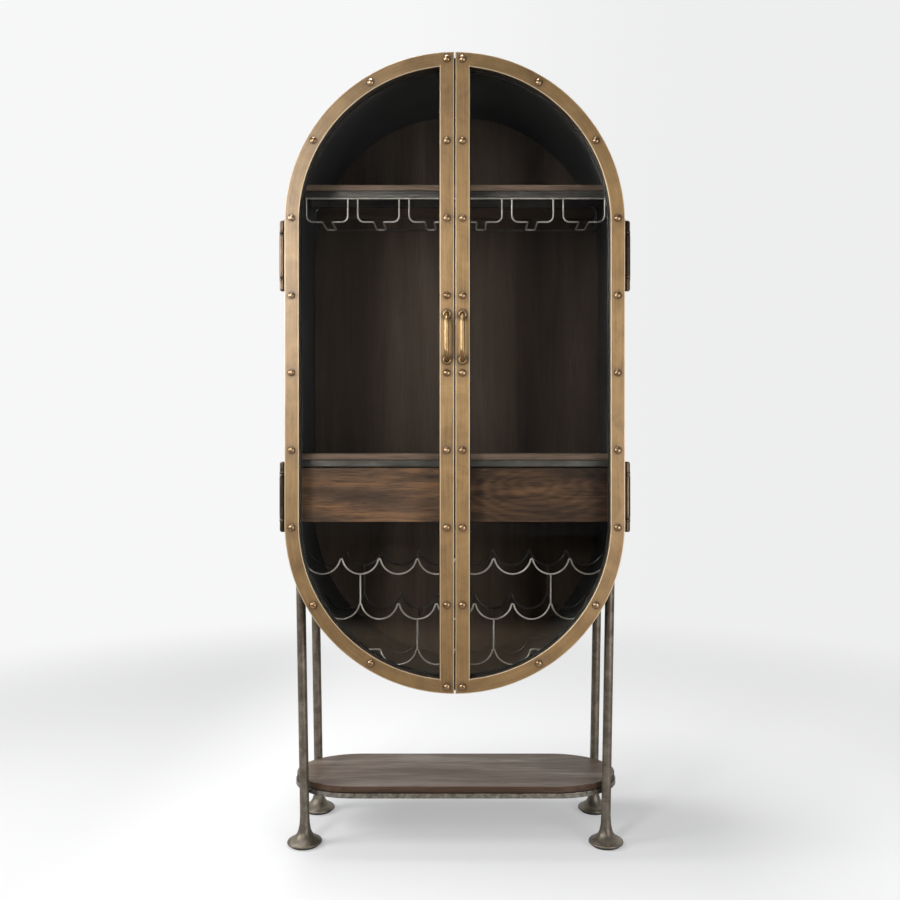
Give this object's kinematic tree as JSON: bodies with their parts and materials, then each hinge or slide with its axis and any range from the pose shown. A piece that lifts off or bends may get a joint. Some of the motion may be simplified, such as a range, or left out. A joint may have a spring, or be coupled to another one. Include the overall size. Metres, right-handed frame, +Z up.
{
  "type": "bar cabinet",
  "caption": "Round-ended bar cabinet with riveted glazed doors, stemware rack, drawers and wire wine rack, on a tubular stand with a lower shelf.",
  "frame": {"origin": "on the floor, under the centre of the overall bounding box", "axes": "+Z is up, the doors face -Y, +X is to the right seen from the front"},
  "size_m": [0.8784, 0.4973, 2.004],
  "materials": {
    "aged_brass": "brushed",
    "polished_brass": "polished",
    "hinge_bronze": "satin",
    "dark_steel": "satin",
    "grey_steel": "brushed",
    "stand_steel": "satin",
    "bright_wire": "satin",
    "dark_wood": "satin",
    "shelf_wood": "satin",
    "drawer_wood": "satin",
    "lower_shelf_wood": "satin",
    "door_glass": "polished"
  },
  "bodies": {
    "cabinet": {"back_panel": "dark_wood", "case_shell": "dark_steel", "drawer_bay_floor": "shelf_wood", "drawer_divider": "shelf_wood", "drawer_side_packing_left": "shelf_wood", "drawer_side_packing_right": "shelf_wood", "foot_front_left": "stand_steel", "foot_front_right": "stand_steel", "foot_rear_left": "stand_steel", "foot_rear_right": "stand_steel", "hinge_lower_left_case_leaf": "hinge_bronze", "hinge_lower_left_pin": "hinge_bronze", "hinge_lower_right_case_leaf": "hinge_bronze", "hinge_lower_right_pin": "hinge_bronze", "hinge_upper_left_case_leaf": "hinge_bronze", "hinge_upper_left_pin": "hinge_bronze", "hinge_upper_right_case_leaf": "hinge_bronze", "hinge_upper_right_pin": "hinge_bronze", "leg_front_left": "stand_steel", "leg_front_right": "stand_steel", "leg_rear_left": "stand_steel", "leg_rear_right": "stand_steel", "lower_shelf_board": "lower_shelf_wood", "lower_shelf_hoop": "stand_steel", "magnetic_catch": "dark_steel", "middle_shelf_board": "shelf_wood", "middle_shelf_front_bar": "grey_steel", "stemware_front_rod": "bright_wire", "stemware_rail_1": "bright_wire", "stemware_rail_2": "bright_wire", "stemware_rail_3": "bright_wire", "stemware_rail_4": "bright_wire", "stemware_rail_5": "bright_wire", "stemware_rail_6": "bright_wire", "stemware_rear_loop": "bright_wire", "upper_shelf_board": "shelf_wood", "upper_shelf_front_bar": "grey_steel", "upper_shelf_rear_bar": "grey_steel", "wine_rack_front_bottom": "bright_wire", "wine_rack_front_middle": "bright_wire", "wine_rack_front_top": "bright_wire", "wine_rack_rear_bottom": "bright_wire", "wine_rack_rear_middle": "bright_wire", "wine_rack_rear_top": "bright_wire"},
    "door_left": {"door_frame_left": "aged_brass", "door_glass_left": "door_glass", "glass_retainer_left": "grey_steel", "door_handle_left": "polished_brass", "hinge_lower_left_door_leaf": "hinge_bronze", "hinge_upper_left_door_leaf": "hinge_bronze"},
    "door_right": {"door_frame_right": "aged_brass", "door_glass_right": "door_glass", "glass_retainer_right": "grey_steel", "door_handle_right": "polished_brass", "hinge_lower_right_door_leaf": "hinge_bronze", "hinge_upper_right_door_leaf": "hinge_bronze"},
    "drawer_left": {"drawer_front_left": "drawer_wood", "drawer_box_left": "shelf_wood"},
    "drawer_right": {"drawer_front_right": "drawer_wood", "drawer_box_right": "shelf_wood"}
  },
  "joints": [
    {"name": "door_left_hinge", "type": "hinge", "parent": "cabinet", "child": "door_left", "pos_m": [-0.4304, -0.17622, 1.2058], "axis": [0, 0, -1], "range_deg": [0, 170]},
    {"name": "door_right_hinge", "type": "hinge", "parent": "cabinet", "child": "door_right", "pos_m": [0.4304, -0.17622, 1.2058], "axis": [0, 0, 1], "range_deg": [0, 170]},
    {"name": "drawer_left_slide", "type": "slide", "parent": "cabinet", "child": "drawer_left", "axis": [0, -1, 0], "range_m": [0, 0.2161]},
    {"name": "drawer_right_slide", "type": "slide", "parent": "cabinet", "child": "drawer_right", "axis": [0, -1, 0], "range_m": [0, 0.2161]}
  ],
  "couplings": [
    {"joint": "drawer_left_slide", "follows": "door_left_hinge", "m_per_rad": 0.0728},
    {"joint": "drawer_right_slide", "follows": "door_right_hinge", "m_per_rad": 0.0728}
  ]
}
